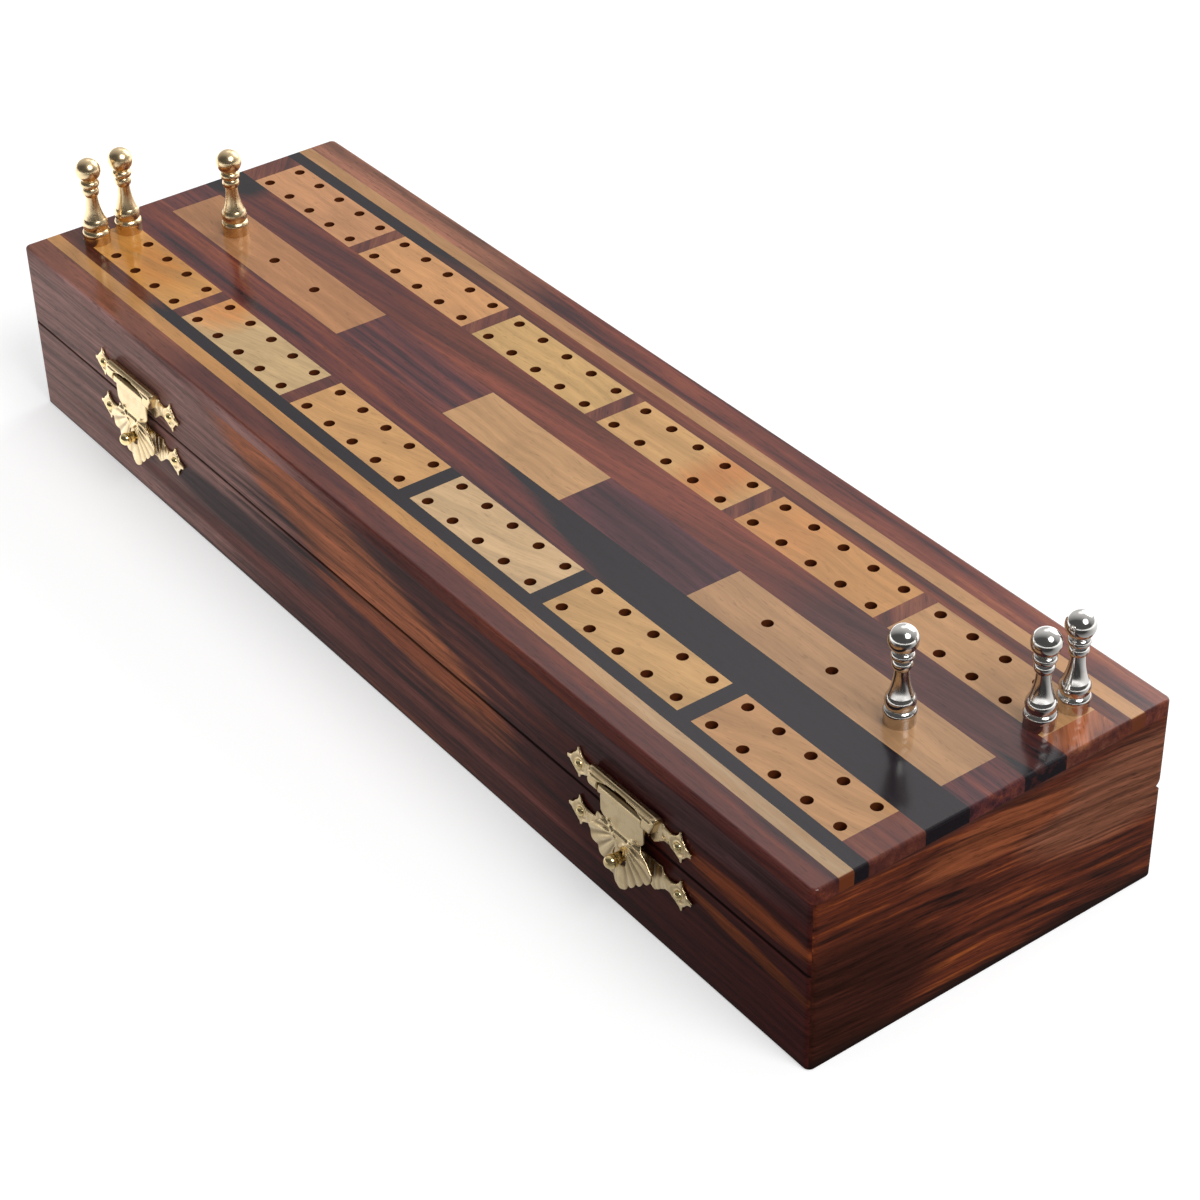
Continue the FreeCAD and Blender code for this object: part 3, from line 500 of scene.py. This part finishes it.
worn_by = {
    "case_long": ["base_front_wall", "base_back_wall", "lid_front_wall", "lid_back_wall"],
    "case_end": ["base_left_end", "base_right_end", "lid_left_end", "lid_right_end"],
    "outer_back": ["outer_strip_back"],
    "outer_front": ["outer_strip_front"],
    "inner_back": ["inner_strip_back"],
    "inner_front": ["inner_strip_front"],
    "spacers_back": ["track_spacers_back"],
    "spacers_front": ["track_spacers_front"],
    "fillers": ["centre_fillers"],
    "dark_back": ["dark_strip_back"],
    "dark_front": ["dark_strip_front"],
    "string": ["light_string_back", "light_string_front"],
    "blocks_back": ["track_blocks_back"],
    "blocks_front": ["track_blocks_front"],
    "panels": ["game_panel_left", "game_panel_right", "blank_panel"],
    "inside": ["base_bottom_panel", "lid_core_panel"],
    "hinge_brass": ["hinge_base_leaf_left", "hinge_base_leaf_right",
                    "hinge_lid_leaf_left", "hinge_lid_leaf_right",
                    "hinge_pin_left", "hinge_pin_right", "hinge_nails_base", "hinge_nails_lid"],
    "clasp_brass": ["clasp_upper_plate_left", "clasp_upper_plate_right",
                    "clasp_lower_plate_left", "clasp_lower_plate_right",
                    "clasp_pin_left", "clasp_pin_right", "clasp_flap_left", "clasp_flap_right"],
    "stud_brass": ["clasp_knob_left", "clasp_knob_right", "clasp_nails_base", "clasp_nails_lid"],
    "peg_brass": ["brass_peg_1", "brass_peg_2", "brass_peg_3"],
    "peg_nickel": ["nickel_peg_1", "nickel_peg_2", "nickel_peg_3"],
}
for finish, names in worn_by.items():
    for name in names:
        for slot in frame["nodes"][name].material_slots:
            slot.material = finishes[finish]


# ---- the stamped clasps ----
# A place on a clasp is given as u, to the right of its middle, w, over its row of nails, and out,
# in front of the case. A pattern returns how far the sheet is pressed forward and up there, and how
# far the place lies in the shade of another part, from 0 to 1.
clasp_out = 81.4                        # from the middle of the case to the middle of a clasp
upper_line, lower_line = 25.3, 15.0     # heights of the two rows of nails
level_dark, dark_per_mm = 0.1, 3.5      # how dark a level sheet is, and each millimetre of depth

# The flap, from its roll down to the tips of its fan. Each line has its spread, and a pair of
# places is where something starts and is full. Within plain_angle of its middle line the fan has no
# flute.
# the top of the flap's roll is painted in shade where the hood shades it, from roll_foot on
roll_foot, roll_shade = (11.5, 12.0), 0.9
crease_line, crease_depth, crease_spread, crease_ends = 10.0, 0.14, 0.3, (5.4, 4.8)
panel_foot, fan_top = 5.6, 4.5
vee_line, vee_height, vee_spread = ((3.6, 5.4), (0.3, 2.5)), 0.26, 0.36
bar_line, bar_height, bar_spread = ((0.0, 4.3), (1.5, 4.3)), 0.24, 0.28
first_flute, flute_step, plain_angle, plain_dip = 11.3, 17.2, 6, 0.6
flute_height, flute_start, flute_end, flute_fade = 0.16, (2.2, 3.6), (5.5, 9.0), 0.45
tail_height, tail_spread, tail_start = 0.2, 0.9, (2.0, 4.0)

# The ears of both plates, with a nail in each.
nail_out, ear_start = 13.3, (9.0, 10.2)
ear_height, ear_spread = 0.2, 1.0
ring_radius, ring_height, ring_spread = 2.0, 0.16, 0.4
groove_radius, groove_depth, groove_spread = 1.35, 0.16, 0.35

# The upper plate's hood: out and w of the middle of its fold, and where its sheet starts.
fold_out, fold_w, fold_inner = 1.15, 2.05, 1.0
hood_out, hood_foot, plate_front = 0.7, -0.3, 0.8
bead_height, beads_per_turn, bead_turn, bead_ends = 0.1, 9, 0.4, (8.4, 7.9)

# The lower plate's scroll lines, pressed round the ends of its body.
scroll_height, scroll_step, scroll_squash = 0.05, 1.5, 0.8
scroll_start, scroll_end = (5.0, 6.0), (9.8, 9.2)


def stamped_copy(node, name, voxel):
    """A copy of a node with its edges softened all round, as pressed sheet has, and fine enough to
    emboss."""
    bpy.ops.object.select_all(action="DESELECT")
    piece = frame["nodes"][node].copy()
    piece.data = piece.data.copy()
    piece.name = piece.data.name = name
    piece.parent = None
    for key in list(piece.keys()):
        del piece[key]
    bpy.context.scene.collection.objects.link(piece)
    bpy.context.view_layer.objects.active = piece
    piece.select_set(True)
    bpy.ops.object.mode_set(mode="EDIT")
    bpy.ops.mesh.select_all(action="SELECT")
    bpy.ops.mesh.remove_doubles(threshold=0.001 * MM)
    bpy.ops.mesh.customdata_custom_splitnormals_clear()
    bpy.ops.object.mode_set(mode="OBJECT")
    fine = piece.modifiers.new("fine", "REMESH")
    fine.mode, fine.voxel_size, fine.use_smooth_shade = "VOXEL", voxel * MM, True
    bpy.ops.object.modifier_apply(modifier=fine.name)
    soft = piece.modifiers.new("soft", "SMOOTH")
    soft.factor, soft.iterations = 0.5, 5
    bpy.ops.object.modifier_apply(modifier=soft.name)
    return piece


def emboss(piece, clasp_x, line, pattern):
    """Presses a pattern into a sheet. Low places, where polishing leaves the metal dark, and places
    in the shade of another part are kept as an attribute that darkens the metal: patina in the low
    places and painted shade in the others."""
    patina_and_shade = piece.data.attributes.new("patina_and_shade", "FLOAT", "POINT")
    for vertex in piece.data.vertices:
        x, y, z = vertex.co / MM
        forward, up, shade = pattern(x - clasp_x, z - line, -half_width - y)
        vertex.co.y -= forward * MM
        vertex.co.z += up * MM
        dark = shade + level_dark - dark_per_mm * (forward + up)
        patina_and_shade.data[vertex.index].value = ease(dark, 0.0, 1.0)
    piece.data.update()


def ridge(distance, spread):
    """1 on a line, falling off smoothly within about its spread."""
    return math.exp(-(distance / spread) ** 2)


def ease(value, start, end):
    """0 before start, 1 after end."""
    return min(max((value - start) / (end - start), 0.0), 1.0)


def to_segment(u, w, start, end):
    """Distance from a place to the line between two others, in the plane of the front."""
    run = (end[0] - start[0], end[1] - start[1])
    along = ((u - start[0]) * run[0] + (w - start[1]) * run[1]) / (run[0] ** 2 + run[1] ** 2)
    along = ease(along, 0.0, 1.0)
    return math.hypot(u - start[0] - along * run[0], w - start[1] - along * run[1])


def flap_pattern(u, w, out):
    """The flap: a crease under its roll, a smooth panel, a V with a bar over its waist, and flutes
    that run from the knob to the fan's scallops."""
    side = abs(u)
    if w > panel_foot:
        crease = crease_depth * ridge(w - crease_line, crease_spread) * ease(side, *crease_ends)
        # the roll's top is given painted shade under the hood
        return -crease, 0.0, roll_shade * ease(w, *roll_foot)
    down = fan_top - w
    angle = math.degrees(math.atan2(side, down))
    reach = math.hypot(down, side)
    height = flute_height * ease(reach, *flute_start) * (1 - flute_fade * ease(reach, *flute_end))
    swing = math.radians((angle - first_flute) * 360 / flute_step + 180)
    flute = math.cos(swing) if angle > plain_angle else -plain_dip
    tail = tail_height * ridge(u, tail_spread) * ease(-w, *tail_start)
    vee = vee_height * ridge(to_segment(side, w, *vee_line), vee_spread)
    bar = bar_height * ridge(to_segment(side, w, *bar_line), bar_spread)
    return height * flute + tail + vee + bar, 0.0, 0.0


def ear_relief(u, w):
    """How far a plate's ears are pressed forward: a soft ridge along each, and a ring with a groove
    in it round its nail."""
    side = abs(u)
    from_nail = math.hypot(side - nail_out, w)
    ring = ring_height * ridge(from_nail - ring_radius, ring_spread)
    groove = groove_depth * ridge(from_nail - groove_radius, groove_spread)
    return ease(side, *ear_start) * (ear_height * ridge(w, ear_spread) + ring - groove)


def hood_pattern(u, w, out):
    """The upper plate: three long beads round the fold of its hood, and its ears."""
    across, high = out - fold_out, w - fold_w
    if out < hood_out or high < hood_foot or math.hypot(across, high) < fold_inner:
        return (ear_relief(u, w) if out < plate_front else 0.0), 0.0, 0.0
    turn = math.atan2(high, across)
    bead = bead_height * math.cos(turn * beads_per_turn + bead_turn) * ease(abs(u), *bead_ends)
    return bead * math.cos(turn), bead * math.sin(turn), 0.0


def scroll_pattern(u, w, out):
    """The lower plate: its scroll lines, and its ears."""
    side = abs(u)
    swing = math.hypot(side - nail_out, w * scroll_squash)
    lines = math.cos(2 * math.pi * swing / scroll_step)
    scroll = scroll_height * lines * ease(side, *scroll_start) * ease(side, *scroll_end)
    return scroll + ear_relief(u, w), 0.0, 0.0


def clasps():
    """Replaces the sheets of both clasps by embossed copies, each on the body of its own part."""
    sheets = [("clasp_flap_", "fluted_flap_", 0.13, lower_line, flap_pattern, None),
              ("clasp_upper_plate_", "hooded_plate_", 0.15, upper_line, hood_pattern, "lid"),
              ("clasp_lower_plate_", "pierced_plate_", 0.15, lower_line, scroll_pattern, "base")]
    for node, name, voxel, line, pattern, body in sheets:
        for side, clasp_x in (("left", -clasp_out), ("right", clasp_out)):
            piece = stamped_copy(node + side, name + side, voxel)
            emboss(piece, clasp_x, line, pattern)
            piece.data.materials.clear()
            piece.data.materials.append(finishes["clasp_brass"])
            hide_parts(node + side)
            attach(piece, body or side + "_flap")


# ---- the studio, in metres ----
floor_size, floor_drop = 8.0, 0.00002
sweep_start, sweep_end = 0.6, 1.2       # from the box, where the paper turns to plain white
lit_paper, plain_paper = "#cecece", "#e7e7e7"
paper_glow = 0.5
dim_floor = (0.3, -0.2, 0.0)            # the middle of the paper's dim part, as polish mirrors it
dim_reach, dim_level = (0.2, 0.5), (0.06, 1.95)

# The room's pale wall and umbrella: the way to each, how nearly a ray has to point that way, and
# how bright it is there.
wall_way, wall_aim, wall_level = (-0.5, 0.74, 0.45), (0.0, 0.75), (0.1, 0.8)
umbrella_way, umbrella_aim, umbrella_level = (-0.5, 0.45, 0.74), (0.955, 0.988), 1.04
room_light = 0.4                        # what the room itself gives to light the box


def seen_ray(tree):
    """1 for what the camera, a gloss or clear glass sees, 0 for what only lights the object."""
    ray = add(tree, "ShaderNodeLightPath")
    gloss = add(tree, "ShaderNodeMath",
                {0: ray.outputs["Is Camera Ray"], 1: ray.outputs["Is Glossy Ray"]},
                operation="MAXIMUM")
    return add(tree, "ShaderNodeMath",
               {0: gloss.outputs[0], 1: ray.outputs["Is Transmission Ray"]},
               operation="MAXIMUM").outputs[0]


def floor():
    """Pale paper that keeps the object's shadow near it and turns to plain white farther off."""
    bpy.ops.object.select_all(action="DESELECT")
    bpy.ops.mesh.primitive_plane_add(size=floor_size, location=(0, 0, -floor_drop))
    ground = bpy.context.object
    ground.name = "studio_floor"
    paper, tree = new_material("white_paper_floor")
    place = add(tree, "ShaderNodeTexCoord").outputs["Object"]
    matt = add(tree, "ShaderNodeBsdfDiffuse", {"Color": srgb(lit_paper)})
    glow = add(tree, "ShaderNodeEmission", {"Strength": paper_glow})
    lit = add(tree, "ShaderNodeAddShader", {0: matt.outputs[0], 1: glow.outputs[0]})
    white = add(tree, "ShaderNodeEmission", {"Strength": RENDER_WHITE})
    far = add(tree, "ShaderNodeVectorMath", {0: place}, operation="LENGTH")
    sweep = add(tree, "ShaderNodeMapRange",
                {"Value": far.outputs["Value"], "From Min": sweep_start, "From Max": sweep_end})
    sheet = add(tree, "ShaderNodeMixShader",
                {0: sweep.outputs[0], 1: lit.outputs[0], 2: white.outputs[0]})
    from_dim = add(tree, "ShaderNodeVectorMath", {0: place, 1: dim_floor}, operation="DISTANCE")
    level = add(tree, "ShaderNodeMapRange",
                {"Value": from_dim.outputs["Value"],
                 "From Min": dim_reach[0], "From Max": dim_reach[1],
                 "To Min": dim_level[0], "To Max": dim_level[1]})
    mirrored = add(tree, "ShaderNodeEmission", {"Strength": level.outputs[0]})
    ray = add(tree, "ShaderNodeLightPath")
    seen = add(tree, "ShaderNodeMixShader",
               {0: ray.outputs["Is Camera Ray"], 1: mirrored.outputs[0], 2: sheet.outputs[0]})
    plain = add(tree, "ShaderNodeBsdfDiffuse", {"Color": srgb(plain_paper)})
    both = add(tree, "ShaderNodeMixShader",
               {0: seen_ray(tree), 1: plain.outputs[0], 2: seen.outputs[0]})
    finish_material(tree, both)
    ground.data.materials.append(paper)


def world():
    """A white room for the camera. A gloss sees its pale wall at the back left, and an umbrella
    there whose sheen lies over the near right of the playing face."""
    room = bpy.data.worlds.new("white_room")
    bpy.context.scene.world = room
    room.use_nodes = True
    tree = room.node_tree
    tree.nodes.clear()
    way = add(tree, "ShaderNodeTexCoord").outputs["Generated"]
    facing = add(tree, "ShaderNodeVectorMath", {0: way, 1: wall_way}, operation="DOT_PRODUCT")
    wall = add(tree, "ShaderNodeMapRange",
               {"Value": facing.outputs["Value"],
                "From Min": wall_aim[0], "From Max": wall_aim[1],
                "To Min": wall_level[0], "To Max": wall_level[1]})
    beside = add(tree, "ShaderNodeVectorMath", {0: way, 1: umbrella_way}, operation="DOT_PRODUCT")
    umbrella = add(tree, "ShaderNodeMapRange",
                   {"Value": beside.outputs["Value"], "From Min": umbrella_aim[0],
                    "From Max": umbrella_aim[1], "To Max": umbrella_level})
    mirrored = add(tree, "ShaderNodeMath", {0: wall.outputs[0], 1: umbrella.outputs[0]},
                   operation="ADD")
    ray = add(tree, "ShaderNodeLightPath")
    seen = add(tree, "ShaderNodeMix",
               {0: ray.outputs["Is Camera Ray"], LEVEL_A: mirrored.outputs[0],
                LEVEL_B: RENDER_WHITE})
    level = add(tree, "ShaderNodeMix",
                {0: seen_ray(tree), LEVEL_A: room_light, LEVEL_B: seen.outputs[0]})
    back = add(tree, "ShaderNodeBackground",
               {"Color": srgb("#ffffff"), "Strength": level.outputs[0]})
    add(tree, "ShaderNodeOutputWorld", {"Surface": back.outputs[0]})


def soft_box(name, place, size, power):
    """A round soft light that faces the middle of the box."""
    light = bpy.data.lights.new(name, "AREA")
    light.shape, light.size, light.energy = "DISK", size, power
    made = bpy.data.objects.new(name, light)
    bpy.context.scene.collection.objects.link(made)
    made.location = place
    made.rotation_euler = (-made.location).to_track_quat("-Z", "Y").to_euler()


def camera(place, turn, focal_length, sensor=36.0):
    """Looks down on the box from beyond its near right corner; the lens is in millimetres."""
    lens = bpy.data.cameras.new("camera")
    lens.lens, lens.sensor_width = focal_length, sensor
    lens.clip_start, lens.clip_end = 0.01, 20.0
    made = bpy.data.objects.new("camera", lens)
    bpy.context.scene.collection.objects.link(made)
    made.location = place
    made.rotation_euler = [math.radians(angle) for angle in turn]
    bpy.context.scene.camera = made


clasps()
floor()
world()
soft_box("key_light", place=(1.3, 0.1, 1.5), size=1.1, power=26.0)
soft_box("back_light", place=(-0.25, 1.3, 0.75), size=1.3, power=11.0)
camera(place=(0.367307, -0.249725, 0.326309), turn=(53.834005, 1.196002, 53.281151),
       focal_length=85.66)
bpy.context.scene.view_settings.view_transform = "Standard"
